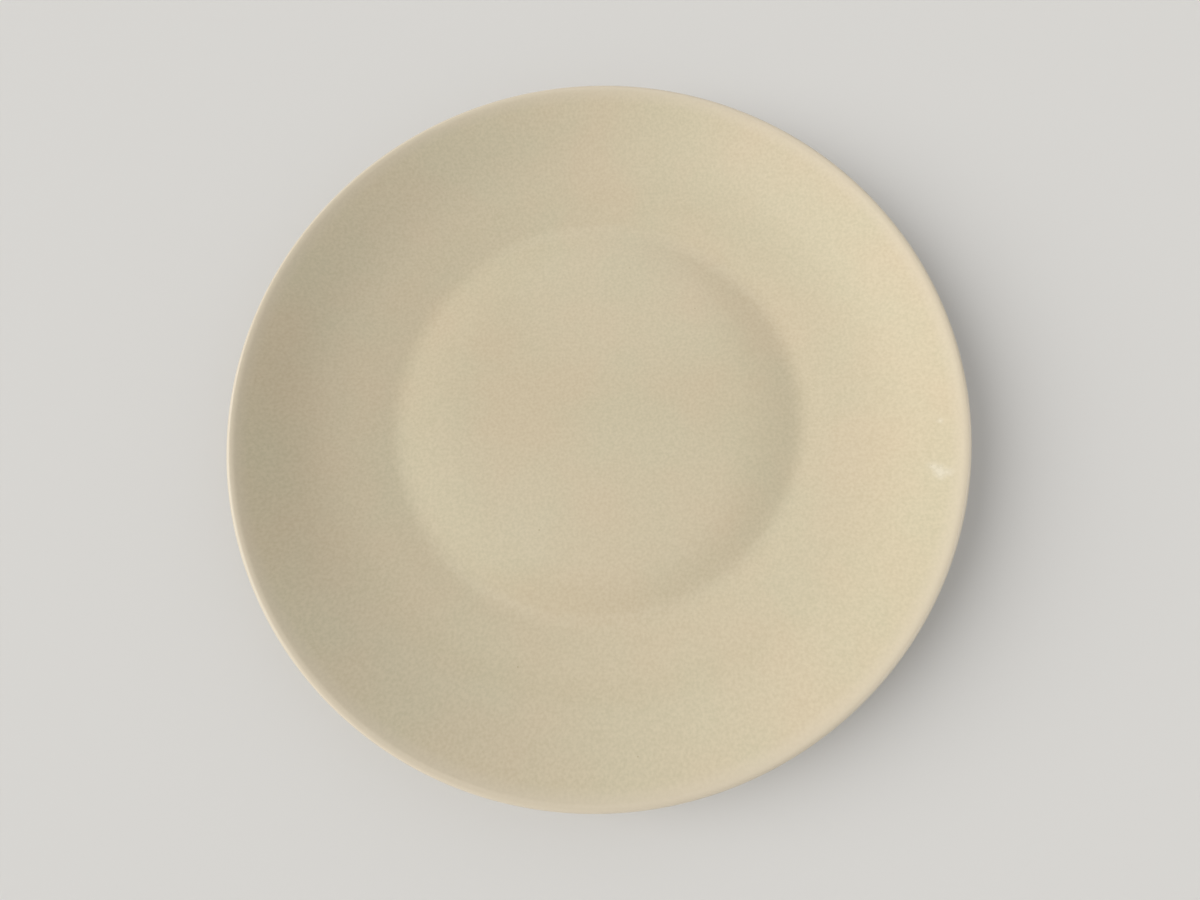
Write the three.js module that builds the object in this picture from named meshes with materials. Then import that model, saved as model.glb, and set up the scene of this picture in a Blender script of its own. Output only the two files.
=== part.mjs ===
// A plain coupe dinner plate in cream glazed stoneware, made as one piece of fired clay.
//
// Millimetres, +Z up. The origin is the centre of the circle that the foot ring stands on, so the
// whole plate is above z = 0 and is round about the Z axis. One closed outline is spun about that
// axis: it starts at the middle of the floor inside the dish, runs out along the floor and up the
// wall, turns round the lip, and comes back down the outside of the wall, over the foot ring and
// along the recess to the middle of the underside.

import * as THREE from "three";

// Across and over the table
const RIM_RADIUS = 135; // widest reach of the lip, for a plate 270 across
const FLOOR_HEIGHT = 8.6; // middle of the floor, inside the dish

// Lip: the wall ends in half a circle
const LIP_RADIUS = 2;
const LIP_CENTRE_RADIUS = RIM_RADIUS - LIP_RADIUS;

// Inside of the dish, as the slope (rise over outward run) reached at each radius. The floor is
// level in the middle and falls away to a shallow valley, where the wall starts up. The wall
// climbs gently at first, and more steeply in its outer half.
const FLOOR_FLAT_RADIUS = 51;
const INSIDE_SLOPES = [
  { radius: 73.3, slope: -0.11 }, // down into the valley
  { radius: 84, slope: 0.178 }, // out of the valley
  { radius: 90.5, slope: 0.178 },
  { radius: 122.5, slope: 0.43 }, // the wall at its steepest
  { radius: 130.8, slope: 0.43 },
];
const INSIDE_END_SLOPE = 0.1; // where it meets the lip, after rolling over a little

// Outside of the wall, the same way from the lip down. The wall is 4 thick in its outer half and
// 5.3 at the foot.
const OUTSIDE_END_SLOPE = 0.39; // where it meets the lip
const OUTSIDE_SLOPES = [
  { radius: 127, slope: 0.425 },
  { radius: 84, slope: 0.215 },
];

// Foot ring, with a flat underside that the plate stands on
const FOOT_OUTER_RADIUS = 81;
const FOOT_INNER_RADIUS = 76.5;
const FOOT_CORNER = 0.8; // rounding where its sides meet its underside
const FOOT_SIDE_HEIGHT = 1.6; // its sides are upright up to here

// Recess inside the foot ring
const RECESS_HEIGHT = 3.3; // under the middle of the floor
const RECESS_FLAT_RADIUS = 45;
const RECESS_EDGE_RADIUS = 75;
const RECESS_EDGE_HEIGHT = 2.9;

// Fineness of the mesh
const SEGMENTS_ROUND = 80;
const STEPS_PER_CURVE = 4; // and twice as many round the lip
const SLOPE_STEP = 0.05; // most that a slope changes from one point to the next

const GLAZE_COLOUR = "#cdc0a5";
const GLAZE_ROUGHNESS = 0.14;

/**
 * Draws the outline on to a radius while its slope eases from one value to another. The slope
 * follows the S-curve 3t^2 - 2t^3, so neither end has a kink, and the height follows that curve's
 * running sum, t^3 - t^4 / 2.
 */
function easeTo(outline, radius, startSlope, endSlope) {
  const { x, y } = outline.currentPoint;
  const run = radius - x;
  const change = endSlope - startSlope;
  const steps = Math.max(1, Math.ceil(Math.abs(change) / SLOPE_STEP));
  for (let step = 1; step <= steps; step += 1) {
    const t = step / steps;
    const rise = run * (startSlope * t + change * (t ** 3 - t ** 4 / 2));
    outline.lineTo(x + run * t, y + rise);
  }
}

/** Draws the outline through a list of slopes, and returns the last of them. */
function easeThrough(outline, startSlope, slopes) {
  let before = startSlope;
  for (const { radius, slope } of slopes) {
    easeTo(outline, radius, before, slope);
    before = slope;
  }
  return before;
}

/** Draws the inside of the dish, from the middle of the floor to where the lip begins. */
function drawInside(outline) {
  const lipAngle = Math.atan(INSIDE_END_SLOPE);
  outline.moveTo(0, FLOOR_HEIGHT);
  outline.lineTo(FLOOR_FLAT_RADIUS, FLOOR_HEIGHT);
  const wallSlope = easeThrough(outline, 0, INSIDE_SLOPES);
  easeTo(outline, LIP_CENTRE_RADIUS - LIP_RADIUS * Math.sin(lipAngle), wallSlope, INSIDE_END_SLOPE);
}

/** Draws the lip as an arc that runs on from the inside and into the outside without a corner. */
function drawLip(outline) {
  const insideAngle = Math.PI / 2 + Math.atan(INSIDE_END_SLOPE);
  const outsideAngle = Math.atan(OUTSIDE_END_SLOPE) - Math.PI / 2;
  const centreHeight = outline.currentPoint.y - LIP_RADIUS * Math.sin(insideAngle);
  outline.absarc(LIP_CENTRE_RADIUS, centreHeight, LIP_RADIUS, insideAngle, outsideAngle, true);
}

/** Draws the outside of the wall, from the lip down to the foot ring. */
function drawOutside(outline) {
  const footSlope = easeThrough(outline, OUTSIDE_END_SLOPE, OUTSIDE_SLOPES);
  const { x, y } = outline.currentPoint;
  const cornerHeight = y - (x - FOOT_OUTER_RADIUS) * footSlope;
  outline.quadraticCurveTo(FOOT_OUTER_RADIUS, cornerHeight, FOOT_OUTER_RADIUS, FOOT_SIDE_HEIGHT);
}

/** Draws the foot ring and the recess inside it, and ends on the axis. */
function drawUnderside(outline) {
  outline.lineTo(FOOT_OUTER_RADIUS, FOOT_CORNER);
  outline.quadraticCurveTo(FOOT_OUTER_RADIUS, 0, FOOT_OUTER_RADIUS - FOOT_CORNER, 0);
  outline.lineTo(FOOT_INNER_RADIUS + FOOT_CORNER, 0);
  outline.quadraticCurveTo(FOOT_INNER_RADIUS, 0, FOOT_INNER_RADIUS, FOOT_CORNER);
  outline.lineTo(FOOT_INNER_RADIUS, FOOT_SIDE_HEIGHT);
  outline.quadraticCurveTo(
    FOOT_INNER_RADIUS,
    RECESS_EDGE_HEIGHT,
    RECESS_EDGE_RADIUS,
    RECESS_EDGE_HEIGHT,
  );
  outline.quadraticCurveTo(
    (RECESS_FLAT_RADIUS + RECESS_EDGE_RADIUS) / 2,
    RECESS_HEIGHT,
    RECESS_FLAT_RADIUS,
    RECESS_HEIGHT,
  );
  outline.lineTo(0, RECESS_HEIGHT);
}

/**
 * The plate's closed outline as points of (radius, height). Its order is reversed, to start at the
 * bottom, because a lathe's faces point outwards when its outline goes up the outside.
 */
function plateOutline() {
  const outline = new THREE.Path();
  drawInside(outline);
  drawLip(outline);
  drawOutside(outline);
  drawUnderside(outline);
  return outline.getPoints(STEPS_PER_CURVE).reverse();
}

/** The plate, with the lathe's own axis turned from Y to Z. */
function makePlate() {
  const geometry = new THREE.LatheGeometry(plateOutline(), SEGMENTS_ROUND);
  const glaze = new THREE.MeshStandardMaterial({
    color: GLAZE_COLOUR,
    roughness: GLAZE_ROUGHNESS,
    metalness: 0,
  });
  const plate = new THREE.Mesh(geometry, glaze);
  plate.name = "plate";
  plate.rotation.x = Math.PI / 2;
  return plate;
}

const dinnerPlate = new THREE.Group();
dinnerPlate.add(makePlate());

export default dinnerPlate;
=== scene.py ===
"""A plain coupe dinner plate in cream glazed stoneware, on a pale studio floor.

The plate is one closed surface of revolution: an outline of radius and height, worked out from
slopes at a few radii, is carried round the upright axis. Metres, +Z up, with the origin at table
level under the middle of the plate. The rim's radius and height come from the frame.
"""

import logging
import math
from dataclasses import dataclass, field
from enum import Enum

import bpy
import numpy as np
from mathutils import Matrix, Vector


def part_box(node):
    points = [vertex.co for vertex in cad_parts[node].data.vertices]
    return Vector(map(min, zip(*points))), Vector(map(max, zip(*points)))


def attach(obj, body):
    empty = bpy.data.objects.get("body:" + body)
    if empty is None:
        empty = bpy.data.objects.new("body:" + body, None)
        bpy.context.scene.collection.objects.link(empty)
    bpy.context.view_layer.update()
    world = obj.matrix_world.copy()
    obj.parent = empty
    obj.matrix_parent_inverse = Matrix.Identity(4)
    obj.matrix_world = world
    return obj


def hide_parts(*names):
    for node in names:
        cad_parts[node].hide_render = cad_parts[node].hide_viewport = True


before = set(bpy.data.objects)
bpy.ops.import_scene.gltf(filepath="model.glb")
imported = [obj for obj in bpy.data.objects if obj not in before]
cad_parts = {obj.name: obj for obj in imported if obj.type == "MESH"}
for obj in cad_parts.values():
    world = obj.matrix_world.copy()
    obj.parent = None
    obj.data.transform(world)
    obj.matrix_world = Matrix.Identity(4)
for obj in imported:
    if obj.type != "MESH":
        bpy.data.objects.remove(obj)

MM = 0.001  # metres in a millimetre
NODE = "plate"  # the frame's one node
BODY = "root"  # the one body of a part with no joints

# A Mix node's sockets by number, when it mixes colours
MIX_SHARE = 0
MIX_FIRST = 6
MIX_SECOND = 7
MIX_RESULT = 2

Value = float | tuple[float, ...] | bpy.types.NodeSocket

log = logging.getLogger("dinner_plate")


class Coat(Enum):
    """What covers a stretch of the outline, as a face's material number."""

    GLAZE = 0
    BARE = 1


def linear(hex_colour: str) -> tuple[float, float, float, float]:
    """Turns an sRGB hex colour to linear light.

    A level up to 0.04045 is divided by 12.92. A higher one has 0.055 added, is divided by 1.055,
    and is raised to the power 2.4.

    Args:
        hex_colour: Such as "#CDC0A5".

    Returns:
        Red, green, blue and an alpha of 1.
    """
    levels = np.array([int(hex_colour[i : i + 2], 16) for i in (1, 3, 5)]) / 255
    curved = ((levels + 0.055) / 1.055) ** 2.4
    red, green, blue = np.where(levels <= 0.04045, levels / 12.92, curved).tolist()
    return red, green, blue, 1.0


def per_metre(size: float) -> float:
    """The texture scale that makes one feature of a pattern as long as size, in metres."""
    return 1 / size


def add_node(
    tree: bpy.types.NodeTree, kind: str, inputs: dict[str | int, Value], **settings: object
) -> bpy.types.Node:
    """Adds a node with its settings, values and incoming links.

    Args:
        tree: The node tree that gets it.
        kind: The node's type, such as "ShaderNodeTexNoise".
        inputs: A value, or an output to link, for each input by its name or number.
        **settings: Attributes of the node, such as its operation.

    Returns:
        The new node.
    """
    node = tree.nodes.new(kind)
    for name, setting in settings.items():
        setattr(node, name, setting)
    for key, value in inputs.items():
        if isinstance(value, bpy.types.NodeSocket):
            tree.links.new(value, node.inputs[key])
        else:
            node.inputs[key].default_value = value
    return node


def new_material(name: str) -> tuple[bpy.types.Material, bpy.types.NodeTree]:
    """Makes an empty node material.

    Args:
        name: The material's name.

    Returns:
        The material and its node tree, which holds nothing yet.
    """
    material = bpy.data.materials.new(name)
    material.use_nodes = True
    material.node_tree.nodes.clear()
    return material, material.node_tree


def mix_colours(
    tree: bpy.types.NodeTree, share: Value, first: Value, second: Value
) -> bpy.types.NodeSocket:
    """Mixes two colours.

    Args:
        tree: The material's node tree.
        share: How much of the second colour, from 0 to 1.
        first: The first colour.
        second: The second colour.

    Returns:
        The mixed colour's output.
    """
    inputs = {MIX_SHARE: share, MIX_FIRST: first, MIX_SECOND: second}
    return add_node(tree, "ShaderNodeMix", inputs, data_type="RGBA").outputs[MIX_RESULT]


def finish_surface(tree: bpy.types.NodeTree, inputs: dict[str | int, Value]) -> None:
    """Ends a material in one Principled shader.

    Args:
        tree: The material's node tree.
        inputs: The shader's values and incoming links.
    """
    shader = add_node(tree, "ShaderNodeBsdfPrincipled", inputs)
    add_node(tree, "ShaderNodeOutputMaterial", {"Surface": shader.outputs["BSDF"]})


@dataclass(frozen=True)
class GlintPatch:
    """A small patch of painted highlight with a dulled gloss, which fills a ragged egg-shaped zone
    round a place.
    """

    place: tuple[float, float, float]
    reach: tuple[float, float, float]  # a little over half of its size each way
    strength: float = 1.0
    rag_size: float = 1.6 * MM
    rag_detail: float = 2.0
    rag_depth: float = 0.55  # how far the edge wanders, as a share of the reach

    def mask(self, tree: bpy.types.NodeTree, here: bpy.types.NodeSocket) -> bpy.types.NodeSocket:
        """Measures how far inside the patch a point is.

        Args:
            tree: The material's node tree.
            here: The point's place on the piece.

        Returns:
            An output that is the strength well inside, and fades to 0 at the patch's edge.
        """
        away = add_node(
            tree, "ShaderNodeVectorMath", {0: here, 1: self.place}, operation="SUBTRACT"
        )
        share = add_node(
            tree,
            "ShaderNodeVectorMath",
            {0: away.outputs["Vector"], 1: self.reach},
            operation="DIVIDE",
        )
        distance = add_node(
            tree, "ShaderNodeVectorMath", {0: share.outputs["Vector"]}, operation="LENGTH"
        )
        rag = add_node(
            tree,
            "ShaderNodeTexNoise",
            {"Vector": here, "Scale": per_metre(self.rag_size), "Detail": self.rag_detail},
        )
        edge = add_node(
            tree,
            "ShaderNodeMath",
            {0: rag.outputs["Fac"], 1: self.rag_depth, 2: distance.outputs["Value"]},
            operation="MULTIPLY_ADD",
        )
        return add_node(
            tree,
            "ShaderNodeMapRange",
            {
                "Value": edge.outputs[0],
                "From Min": self.rag_depth / 2,
                "From Max": 1.0,
                "To Min": self.strength,
                "To Max": 0.0,
            },
            interpolation_type="SMOOTHSTEP",
        ).outputs["Result"]


@dataclass(frozen=True)
class CreamGlaze:
    """Cream stoneware glaze, dipped and fired glossy.

    Its tin-white base is warmed by iron from the clay, which gives the eye a soft cream that
    drifts a little between warm and cool, a fine grain, a few faint brown specks, a clean gloss
    with a trace of orange peel, and a paler band towards the lip, which also paints the lip's
    shaded side lighter. Two small patches carry a painted highlight under a dulled gloss.
    """

    name: str = "cream_stoneware_glaze"
    warm: str = "#CCBC9E"
    cool: str = "#C8BD9F"
    pale: str = "#DDD0B4"
    iron: str = "#8F7550"
    # Paler cream towards the lip; on the lip's shaded side it stands in for light
    lip_pale: str = "#D6C9B2"
    cloud_size: float = 34 * MM
    cloud_detail: float = 2.0
    cloud_band: tuple[float, float] = (0.35, 0.65)  # noise levels that are all warm and all cool
    cloud_shift: tuple[float, float, float] = (0.91, 0.36, -0.61)  # picks where the clouds fall
    grain_size: float = 1.1 * MM
    grain_detail: float = 1.0
    grain_band: tuple[float, float] = (0.3, 0.7)  # noise levels with none of it and all of it
    grain_share: float = 0.42
    speck_spacing: float = 13 * MM
    speck_radius: float = 0.36 * MM
    speck_core: float = 0.4  # share of its radius that is at full strength
    speck_strength: float = 0.45
    ripple_size: float = 4.5 * MM
    ripple_detail: float = 1.0
    ripple_height: float = 0.006 * MM
    roughness: float = 0.16
    index: float = 1.5  # how strongly it bends light, as glass does
    lip_from: float = 127.5 * MM
    lip_to: float = 133.5 * MM
    lip_strength: float = 0.9
    # A pale colour painted under the patches as a highlight, and the duller gloss they have
    painted_glint: str = "#EFEAE0"
    painted_glint_strength: float = 0.28
    patch_roughness: float = 0.32
    # Painted highlights under a dulled gloss: one faint patch, made of three zones that overlap,
    # and one fleck
    glint_patches: tuple[GlintPatch, ...] = (
        GlintPatch((122.6 * MM, -25.7 * MM, 19.8 * MM), (4.8 * MM, 5.2 * MM, 4.8 * MM)),
        GlintPatch((120.9 * MM, -23.7 * MM, 19.1 * MM), (4.0 * MM, 3.4 * MM, 4.0 * MM), 0.9),
        GlintPatch((124.4 * MM, -25.7 * MM, 20.4 * MM), (4.8 * MM, 3.8 * MM, 4.8 * MM), 0.75),
        GlintPatch((124.7 * MM, -7.1 * MM, 19.7 * MM), (2.2 * MM, 2.0 * MM, 2.2 * MM), 0.85),
    )

    def material(self) -> bpy.types.Material:
        """Builds the glaze's material.

        Returns:
            The new material.
        """
        material, tree = new_material(self.name)
        place = add_node(tree, "ShaderNodeTexCoord", {}).outputs["Object"]
        colour = self._clouds(tree, place)
        colour = self._grain(tree, place, colour)
        colour = self._specks(tree, place, colour)
        # A paler band towards the lip, which also paints the lip's shaded side lighter
        colour = self._paler_lip(tree, place, colour)
        # The patches' mask: a painted highlight in the colour, and a duller gloss
        glint_mask = self._glint_masks(tree, place)
        finish_surface(
            tree,
            {
                "Base Color": self._paint_glint(tree, glint_mask, colour),
                "Roughness": self._gloss(tree, glint_mask),
                "IOR": self.index,
                "Normal": self._ripple(tree, place),
            },
        )
        return material

    def _clouds(
        self, tree: bpy.types.NodeTree, place: bpy.types.NodeSocket
    ) -> bpy.types.NodeSocket:
        """Drifts between the warm and the cool cream in broad clouds.

        Args:
            tree: The material's node tree.
            place: The point's place on the piece.

        Returns:
            The clouds' colour.
        """
        shifted = add_node(
            tree, "ShaderNodeVectorMath", {0: place, 1: self.cloud_shift}, operation="ADD"
        )
        cloud = add_node(
            tree,
            "ShaderNodeTexNoise",
            {
                "Vector": shifted.outputs["Vector"],
                "Scale": per_metre(self.cloud_size),
                "Detail": self.cloud_detail,
            },
        )
        warm_level, cool_level = self.cloud_band
        spread = add_node(
            tree,
            "ShaderNodeMapRange",
            {"Value": cloud.outputs["Fac"], "From Min": warm_level, "From Max": cool_level},
        )
        return mix_colours(tree, spread.outputs["Result"], linear(self.warm), linear(self.cool))

    def _grain(
        self,
        tree: bpy.types.NodeTree,
        place: bpy.types.NodeSocket,
        colour: bpy.types.NodeSocket,
    ) -> bpy.types.NodeSocket:
        """Pales the colour by a fine grain of about a millimetre.

        Args:
            tree: The material's node tree.
            place: The point's place on the piece.
            colour: The colour so far.

        Returns:
            The colour with the grain in it.
        """
        grain = add_node(
            tree,
            "ShaderNodeTexNoise",
            {"Vector": place, "Scale": per_metre(self.grain_size), "Detail": self.grain_detail},
        )
        none_level, all_level = self.grain_band
        share = add_node(
            tree,
            "ShaderNodeMapRange",
            {
                "Value": grain.outputs["Fac"],
                "From Min": none_level,
                "From Max": all_level,
                "To Max": self.grain_share,
            },
        )
        return mix_colours(tree, share.outputs["Result"], colour, linear(self.pale))

    def _specks(
        self,
        tree: bpy.types.NodeTree,
        place: bpy.types.NodeSocket,
        colour: bpy.types.NodeSocket,
    ) -> bpy.types.NodeSocket:
        """Adds a brown speck wherever the surface cuts a small ball round a scattered point.

        Args:
            tree: The material's node tree.
            place: The point's place on the piece.
            colour: The colour so far.

        Returns:
            The colour with the specks in it.
        """
        cells = add_node(
            tree,
            "ShaderNodeTexVoronoi",
            {"Vector": place, "Scale": per_metre(self.speck_spacing)},
        )
        radius = self.speck_radius / self.speck_spacing
        strength = add_node(
            tree,
            "ShaderNodeMapRange",
            {
                "Value": cells.outputs["Distance"],
                "From Min": radius * self.speck_core,
                "From Max": radius,
                "To Min": self.speck_strength,
                "To Max": 0.0,
            },
        )
        return mix_colours(tree, strength.outputs["Result"], colour, linear(self.iron))

    def _paler_lip(
        self,
        tree: bpy.types.NodeTree,
        place: bpy.types.NodeSocket,
        colour: bpy.types.NodeSocket,
    ) -> bpy.types.NodeSocket:
        """Pales the colour towards the lip, all round, which also paints the lip's shaded side
        lighter.

        Args:
            tree: The material's node tree.
            place: The point's place on the piece.
            colour: The colour so far.

        Returns:
            The colour, paler near the lip.
        """
        flat = add_node(
            tree, "ShaderNodeVectorMath", {0: place, 1: (1.0, 1.0, 0.0)}, operation="MULTIPLY"
        )
        reach = add_node(
            tree, "ShaderNodeVectorMath", {0: flat.outputs["Vector"]}, operation="LENGTH"
        )
        strength = add_node(
            tree,
            "ShaderNodeMapRange",
            {
                "Value": reach.outputs["Value"],
                "From Min": self.lip_from,
                "From Max": self.lip_to,
                "To Max": self.lip_strength,
            },
        )
        return mix_colours(tree, strength.outputs["Result"], colour, linear(self.lip_pale))

    def _glint_masks(
        self, tree: bpy.types.NodeTree, place: bpy.types.NodeSocket
    ) -> bpy.types.NodeSocket:
        """Joins the patches' masks: the strongest counts at each point.

        Args:
            tree: The material's node tree.
            place: The point's place on the piece.

        Returns:
            The joined mask.
        """
        masks = [glint_patch.mask(tree, place) for glint_patch in self.glint_patches]
        joined = masks[0]
        for mask in masks[1:]:
            both = add_node(tree, "ShaderNodeMath", {0: joined, 1: mask}, operation="MAXIMUM")
            joined = both.outputs[0]
        return joined

    def _paint_glint(
        self, tree: bpy.types.NodeTree, glint_mask: bpy.types.NodeSocket, colour: bpy.types.NodeSocket
    ) -> bpy.types.NodeSocket:
        """Pales the colour under a patch, as a painted highlight.

        Args:
            tree: The material's node tree.
            glint_mask: The patches' joined mask.
            colour: The colour so far.

        Returns:
            The colour with the painted highlight in it.
        """
        share = add_node(
            tree, "ShaderNodeMath", {0: glint_mask, 1: self.painted_glint_strength}, operation="MULTIPLY"
        )
        return mix_colours(tree, share.outputs[0], colour, linear(self.painted_glint))

    def _gloss(
        self, tree: bpy.types.NodeTree, glint_mask: bpy.types.NodeSocket
    ) -> bpy.types.NodeSocket:
        """Dulls the clean gloss under a patch.

        Args:
            tree: The material's node tree.
            glint_mask: The patches' joined mask.

        Returns:
            The roughness.
        """
        return add_node(
            tree,
            "ShaderNodeMapRange",
            {"Value": glint_mask, "To Min": self.roughness, "To Max": self.patch_roughness},
        ).outputs["Result"]

    def _ripple(
        self, tree: bpy.types.NodeTree, place: bpy.types.NodeSocket
    ) -> bpy.types.NodeSocket:
        """Bends the gloss by the faint orange peel of a melted glaze.

        Args:
            tree: The material's node tree.
            place: The point's place on the piece.

        Returns:
            The bent normal.
        """
        peel = add_node(
            tree,
            "ShaderNodeTexNoise",
            {"Vector": place, "Scale": per_metre(self.ripple_size), "Detail": self.ripple_detail},
        )
        return add_node(
            tree,
            "ShaderNodeBump",
            {"Height": peel.outputs["Fac"], "Distance": self.ripple_height},
        ).outputs["Normal"]


@dataclass(frozen=True)
class BareStoneware:
    """Fired clay, wiped free of glaze under the foot and left as it came from the kiln.

    It gives the eye a dry buff ring with fine sand in it, darker than the glaze beside it.
    """

    name: str = "bare_fired_stoneware"
    clay: str = "#B79F7C"
    sand: str = "#D0BD9B"
    grit_size: float = 0.6 * MM
    grit_detail: float = 3.0
    grit_height: float = 0.05 * MM
    roughness: float = 0.85

    def material(self) -> bpy.types.Material:
        """Builds the bare clay's material.

        Returns:
            The new material.
        """
        material, tree = new_material(self.name)
        place = add_node(tree, "ShaderNodeTexCoord", {}).outputs["Object"]
        grit = add_node(
            tree,
            "ShaderNodeTexNoise",
            {"Vector": place, "Scale": per_metre(self.grit_size), "Detail": self.grit_detail},
        ).outputs["Fac"]
        colour = mix_colours(tree, grit, linear(self.clay), linear(self.sand))
        bump = add_node(tree, "ShaderNodeBump", {"Height": grit, "Distance": self.grit_height})
        finish_surface(
            tree,
            {
                "Base Color": colour,
                "Roughness": self.roughness,
                "Normal": bump.outputs["Normal"],
            },
        )
        return material


@dataclass(frozen=True)
class Station:
    """A radius on the outline, and the slope (rise over outward run) that is reached there."""

    radius: float
    slope: float


@dataclass
class Outline:
    """Half of a round thing's section, drawn stretch by stretch as (radius, height) points."""

    points: np.ndarray
    coats: np.ndarray = field(default_factory=lambda: np.zeros(0, dtype=np.int32))

    @property
    def end(self) -> np.ndarray:
        """The last point so far."""
        return self.points[-1]

    def _add(self, more: np.ndarray, coat: Coat) -> None:
        """Adds a stretch's points, and its coat once for each."""
        self.points = np.vstack([self.points, more])
        self.coats = np.concatenate([self.coats, np.full(len(more), coat.value, dtype=np.int32)])

    def line(self, end: tuple[float, float], steps: int, coat: Coat = Coat.GLAZE) -> None:
        """Draws a straight line to end."""
        share = np.linspace(0, 1, steps + 1)[1:, None]
        self._add(self.end + share * (np.array(end) - self.end), coat)

    def arc(
        self,
        centre: tuple[float, float],
        radius: float,
        angles: tuple[float, float],
        steps: int,
        coat: Coat = Coat.GLAZE,
    ) -> None:
        """Draws part of a circle.

        Args:
            centre: The circle's centre.
            radius: The circle's radius.
            angles: Where the arc starts and ends, in radians up from outwards.
            steps: How many faces it gets.
            coat: What covers it.
        """
        angle = np.linspace(*angles, steps + 1)[1:]
        ring = np.column_stack([np.cos(angle), np.sin(angle)])
        self._add(np.array(centre) + radius * ring, coat)

    def curve(self, control: tuple[float, float], end: tuple[float, float], steps: int) -> None:
        """Draws a parabola: start, control and end weighted (1-t)^2, 2t(1-t) and t^2.

        Args:
            control: Where the lines along the parabola's two ends meet.
            end: Where it ends.
            steps: How many faces it gets.
        """
        t = np.linspace(0, 1, steps + 1)[1:, None]
        bent = (1 - t) ** 2 * self.end + 2 * t * (1 - t) * np.array(control) + t**2 * np.array(end)
        self._add(bent, Coat.GLAZE)

    def ease(self, slope_from: float, station: Station, steps: int) -> None:
        """Draws on to a station while the slope changes from slope_from to the station's.

        The slope follows the S-curve 3t^2 - 2t^3, so neither end has a kink, and the height
        follows that curve's running sum, t^3 - t^4 / 2.

        Args:
            slope_from: The slope at the start.
            station: The radius and slope at the end.
            steps: How many faces it gets.
        """
        t = np.linspace(0, 1, steps + 1)[1:]
        run = station.radius - self.end[0]
        rise = run * (slope_from * t + (station.slope - slope_from) * (t**3 - t**4 / 2))
        self._add(np.column_stack([self.end[0] + run * t, self.end[1] + rise]), Coat.GLAZE)

    def ease_through(self, slope_from: float, stations: tuple[Station, ...], steps: int) -> None:
        """Draws through stations in order, with as many steps to each.

        Args:
            slope_from: The slope at the start.
            stations: The stations, in the order in which they are reached.
            steps: How many faces the stretch to each of them gets.
        """
        for station in stations:
            self.ease(slope_from, station, steps)
            slope_from = station.slope


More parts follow.
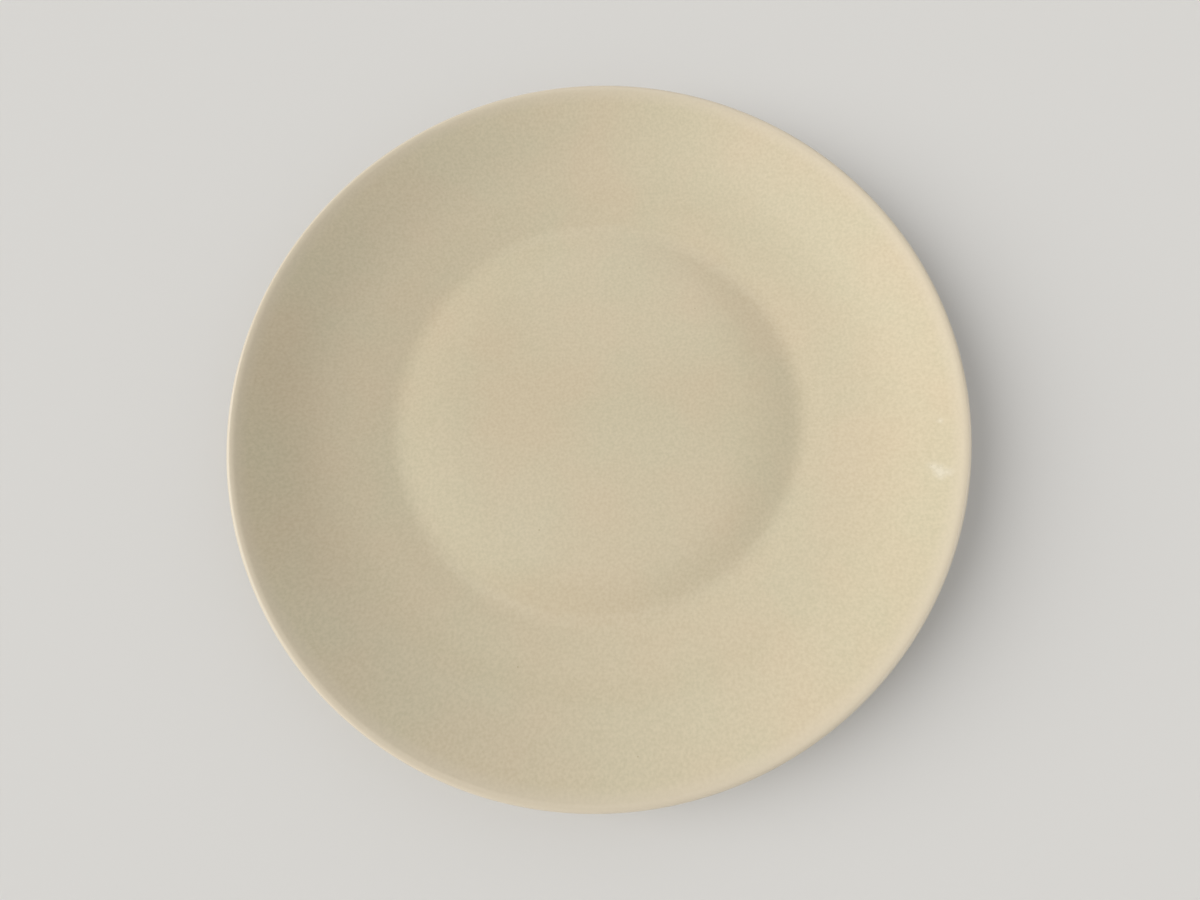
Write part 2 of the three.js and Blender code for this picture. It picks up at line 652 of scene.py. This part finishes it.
@dataclass
class DinnerPlate:
    """The plate, with its sizes in metres and its slopes as rise over outward run."""

    rim_radius: float
    rim_height: float
    lip_radius: float = 2 * MM
    floor_flat_radius: float = 51 * MM
    inside: tuple[Station, ...] = (
        Station(73.3 * MM, -0.11),
        Station(84 * MM, 0.178),
        Station(90.5 * MM, 0.178),
        Station(122.5 * MM, 0.43),
        Station(130.8 * MM, 0.43),
    )
    inside_end_slope: float = 0.10
    outside_end_slope: float = 0.39
    outside: tuple[Station, ...] = (Station(127 * MM, 0.425), Station(84 * MM, 0.215))
    foot_outer_radius: float = 81 * MM
    foot_inner_radius: float = 76.5 * MM
    foot_corner: float = 0.8 * MM
    foot_side_height: float = 1.6 * MM
    recess_height: float = 3.3 * MM
    recess_flat_radius: float = 45 * MM
    recess_edge_radius: float = 75 * MM
    recess_edge_height: float = 2.9 * MM
    around: int = 480  # faces round the plate
    steps: int = 12  # faces along each stretch of the outline, apart from the foot's small ones
    foot_side_steps: int = 3
    foot_corner_steps: int = 6
    foot_bottom_steps: int = 4

    def _draw_inside(self) -> Outline:
        """Draws the inside of the dish, then shifts it so that it ends at the lip's height.

        Returns:
            The outline so far, from the middle of the floor to where the lip begins.
        """
        lip_angle = math.atan(self.inside_end_slope)
        wall_end = self.rim_radius - self.lip_radius * (1 + math.sin(lip_angle))
        stations = (*self.inside, Station(wall_end, self.inside_end_slope))
        outline = Outline(np.zeros((1, 2)))
        outline.line((self.floor_flat_radius, 0.0), self.steps)
        outline.ease_through(0.0, stations, self.steps)
        lip_start = self.rim_height - self.lip_radius * (1 - math.cos(lip_angle))
        outline.points[:, 1] += lip_start - outline.end[1]
        return outline

    def _draw_lip(self, outline: Outline) -> None:
        """Rounds the lip, from the inside's slope over the top to the outside's.

        Args:
            outline: The outline, which gets the lip's points.
        """
        centre = (self.rim_radius - self.lip_radius, self.rim_height - self.lip_radius)
        inside_angle = math.pi / 2 + math.atan(self.inside_end_slope)
        outside_angle = math.atan(self.outside_end_slope) - math.pi / 2
        outline.arc(centre, self.lip_radius, (inside_angle, outside_angle), 2 * self.steps)

    def _draw_foot(self, outline: Outline) -> None:
        """Draws the foot ring: a rounded shoulder, then bare from corner to corner.

        Args:
            outline: The outline, which gets the foot ring's points.
        """
        corner, bends = self.foot_corner, self.foot_corner_steps
        outer, inner = self.foot_outer_radius, self.foot_inner_radius
        out, down, back = 0.0, -math.pi / 2, -math.pi
        shoulder = outline.end[1] - (outline.end[0] - outer) * self.outside[-1].slope
        outline.curve((outer, shoulder), (outer, self.foot_side_height), self.steps)
        outline.line((outer, corner), self.foot_side_steps)
        outline.arc((outer - corner, corner), corner, (out, down), bends, Coat.BARE)
        outline.line((inner + corner, 0.0), self.foot_bottom_steps, Coat.BARE)
        outline.arc((inner + corner, corner), corner, (down, back), bends, Coat.BARE)
        outline.line((inner, self.foot_side_height), self.foot_side_steps)

    def _draw_recess(self, outline: Outline) -> None:
        """Draws the recess inside the foot ring, which is a little deeper in the middle.

        Args:
            outline: The outline, which gets the recess's points.
        """
        edge = (self.recess_edge_radius, self.recess_edge_height)
        outline.curve((self.foot_inner_radius, self.recess_edge_height), edge, self.steps)
        middle = (self.recess_flat_radius + self.recess_edge_radius) / 2
        flat = (self.recess_flat_radius, self.recess_height)
        outline.curve((middle, self.recess_height), flat, self.steps)
        outline.line((0.0, self.recess_height), self.steps)

    def outline(self) -> Outline:
        """Draws the whole outline.

        Returns:
            The outline, from the middle of the floor round to the middle of the underside.
        """
        outline = self._draw_inside()
        self._draw_lip(outline)
        outline.ease_through(self.outside_end_slope, self.outside, self.steps)
        self._draw_foot(outline)
        self._draw_recess(outline)
        return outline

    def _spin(self, outline: Outline) -> np.ndarray:
        """Carries the outline round the axis: x = r cos a, y = r sin a, z = height.

        Args:
            outline: The whole outline.

        Returns:
            The points: the top pole, a ring for each of the outline's inner points in order,
            and the bottom pole.
        """
        rows = outline.points[1:-1]
        angle = np.linspace(0, 2 * np.pi, self.around, endpoint=False)
        ring = np.column_stack([np.cos(angle), np.sin(angle)])
        grid = np.empty((len(rows), self.around, 3))
        grid[..., :2] = rows[:, None, :1] * ring
        grid[..., 2] = rows[:, 1:]
        top = (0.0, 0.0, outline.points[0, 1])
        bottom = (0.0, 0.0, outline.points[-1, 1])
        return np.vstack([top, grid.reshape(-1, 3), bottom])

    def _faces(self, rings: int) -> list[list[int]]:
        """Lists the faces by their points' numbers, turned so that they point outwards.

        Args:
            rings: How many rings of points lie between the poles.

        Returns:
            A fan round the top pole, a four-sided face for each gap between two rings, and a
            fan round the bottom pole.
        """
        here = np.arange(self.around)
        after = (here + 1) % self.around
        first = 1 + np.arange(rings - 1)[:, None] * self.around
        second = first + self.around
        quads = np.stack([first + here, second + here, second + after, first + after], axis=-1)
        last = 1 + (rings - 1) * self.around
        pole = np.full_like(here, last + self.around)
        top_fan = np.column_stack([np.zeros_like(here), 1 + here, 1 + after])
        bottom_fan = np.column_stack([last + here, pole, last + after])
        return top_fan.tolist() + quads.reshape(-1, 4).tolist() + bottom_fan.tolist()

    def build(self) -> bpy.types.Object:
        """Makes the plate as one closed surface of revolution.

        Returns:
            The plate's object, with both poles as single points.
        """
        outline = self.outline()
        points = self._spin(outline)
        mesh = bpy.data.meshes.new("dinner_plate")
        mesh.from_pydata(points, [], self._faces(len(outline.points) - 2))
        mesh.polygons.foreach_set("material_index", np.repeat(outline.coats, self.around))
        mesh.polygons.foreach_set("use_smooth", np.ones(len(mesh.polygons), dtype=bool))
        mesh.update()
        piece = bpy.data.objects.new("dinner_plate", mesh)
        bpy.context.scene.collection.objects.link(piece)
        return piece

    def dress(self, piece: bpy.types.Object) -> None:
        """Gives the plate its glaze and its bare foot, in the order of Coat's numbers."""
        piece.data.materials.append(CreamGlaze().material())
        piece.data.materials.append(BareStoneware().material())


@dataclass
class PaleFloor:
    """A wide round sheet of matt pale grey board under the plate."""

    radius: float = 9.0
    colour: str = "#DAD8D4"
    roughness: float = 0.9
    around: int = 128

    def build(self) -> bpy.types.Object:
        """Makes the floor as one level disc.

        Returns:
            The floor's object, with its material.
        """
        angle = np.linspace(0, 2 * np.pi, self.around, endpoint=False)
        level = np.zeros(self.around)
        points = self.radius * np.column_stack([np.cos(angle), np.sin(angle), level])
        mesh = bpy.data.meshes.new("studio_floor")
        mesh.from_pydata(points, [], [list(range(self.around))])
        material, tree = new_material("matt_pale_board")
        finish_surface(tree, {"Base Color": linear(self.colour), "Roughness": self.roughness})
        mesh.materials.append(material)
        floor = bpy.data.objects.new("studio_floor", mesh)
        bpy.context.scene.collection.objects.link(floor)
        return floor


@dataclass(frozen=True)
class Lamp:
    """A far round lamp: its strength, how wide it looks, and where it is in the sky.

    Its angles are in degrees: off_zenith from straight up, and bearing round from the right.
    A lamp that isn't mirrored lights surfaces without being seen in their gloss, and one that
    lights nothing is seen only in their gloss.
    """

    name: str
    strength: float
    width: float
    off_zenith: float
    bearing: float
    lights: bool = True
    mirrored: bool = True

    def build(self) -> None:
        """Makes the lamp, aimed at the origin from its place in the sky."""
        data = bpy.data.lights.new(self.name, "SUN")
        data.energy = self.strength
        data.angle = math.radians(self.width)
        off_zenith, bearing = math.radians(self.off_zenith), math.radians(self.bearing)
        flat = math.sin(off_zenith)
        towards = Vector(
            (flat * math.cos(bearing), flat * math.sin(bearing), math.cos(off_zenith))
        )
        lamp = bpy.data.objects.new(self.name, data)
        lamp.rotation_euler = towards.to_track_quat("Z", "Y").to_euler()
        lamp.visible_diffuse = self.lights
        lamp.visible_glossy = self.mirrored
        bpy.context.scene.collection.objects.link(lamp)


@dataclass(frozen=True)
class StudioLight:
    """Soft light: a broad lamp low on the left, and a pale surround that dims overhead.

    The lamp is in two parts at one place, and only the weaker part is seen in the gloss, so that
    its mirror image on the lip and across the dish stays soft. The cards are seen only in the
    gloss. The low one on the right draws a pale line along the lip on that side, and the small
    ones overhead lay a faint veil over the floor and the wall in front and behind.
    """

    lamps: tuple[Lamp, ...] = (
        Lamp("key", 1.73, width=46, off_zenith=60, bearing=181, mirrored=False),
        Lamp("gleam", 0.80, width=46, off_zenith=60, bearing=181),
        Lamp("low_card", 0.94, width=60, off_zenith=72, bearing=345, lights=False),
        Lamp("top_card", 0.090, width=28, off_zenith=0, bearing=0, lights=False),
        Lamp("rear_card", 0.102, width=27, off_zenith=31, bearing=90, lights=False),
        Lamp("left_card", 0.079, width=25, off_zenith=21, bearing=180, lights=False),
    )
    surround: str = "#FFFFFF"
    side_strength: float = 0.65
    overhead_strength: float = 0.385
    dims_from: float = 0.60  # height in the sky, as the sine of its angle above the horizon
    dims_to: float = 1.0

    def build(self) -> None:
        """Makes the lamp's two parts and the cards, and the surround."""
        for lamp in self.lamps:
            lamp.build()
        self._surround()

    def _surround(self) -> None:
        """Makes a sky of one strength round the sides, which eases to a lower one overhead."""
        world = bpy.data.worlds.new("surround")
        world.use_nodes = True
        tree = world.node_tree
        tree.nodes.clear()
        direction = add_node(tree, "ShaderNodeTexCoord", {}).outputs["Generated"]
        up = add_node(tree, "ShaderNodeSeparateXYZ", {0: direction}).outputs["Z"]
        level = add_node(
            tree,
            "ShaderNodeMapRange",
            {
                "Value": up,
                "From Min": self.dims_from,
                "From Max": self.dims_to,
                "To Min": self.side_strength,
                "To Max": self.overhead_strength,
            },
            interpolation_type="SMOOTHSTEP",
        )
        glow = add_node(
            tree,
            "ShaderNodeBackground",
            {"Color": linear(self.surround), "Strength": level.outputs["Result"]},
        )
        add_node(tree, "ShaderNodeOutputWorld", {"Surface": glow.outputs[0]})
        bpy.context.scene.world = world


@dataclass
class Viewpoint:
    """The camera: close above the plate, a little off its middle and leaning towards it."""

    lens_mm: float = 17.0
    sensor_mm: float = 36.0
    place: tuple[float, float, float] = (14.51 * MM, -53.42 * MM, 221.29 * MM)
    lean_back: float = math.radians(11.68)
    lean_aside: float = math.radians(0.994)
    shift: tuple[float, float] = (-0.02155, -0.01301)  # shares of the picture's width
    nearest: float = 0.01  # things closer than this, in metres, aren't drawn

    def build(self) -> None:
        """Makes the camera and looks through it."""
        data = bpy.data.cameras.new("camera")
        data.lens = self.lens_mm
        data.sensor_width = self.sensor_mm
        data.shift_x, data.shift_y = self.shift
        data.clip_start = self.nearest
        camera = bpy.data.objects.new("camera", data)
        camera.location = self.place
        camera.rotation_euler = (self.lean_back, self.lean_aside, 0.0)
        bpy.context.scene.collection.objects.link(camera)
        bpy.context.scene.camera = camera


def main() -> None:
    """Builds the camera, the light, the floor and the plate."""
    logging.basicConfig(level=logging.INFO, format="%(name)s: %(message)s")
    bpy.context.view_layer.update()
    bpy.context.scene.view_settings.view_transform = "Standard"

    Viewpoint().build()
    StudioLight().build()
    PaleFloor().build()

    low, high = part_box(NODE)
    plate = DinnerPlate(rim_radius=(high.x - low.x) / 2, rim_height=high.z)
    piece = plate.build()
    plate.dress(piece)
    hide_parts(NODE)
    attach(piece, BODY)
    log.info("%s: %d faces", piece.name, len(piece.data.polygons))


if __name__ == "__main__":
    main()
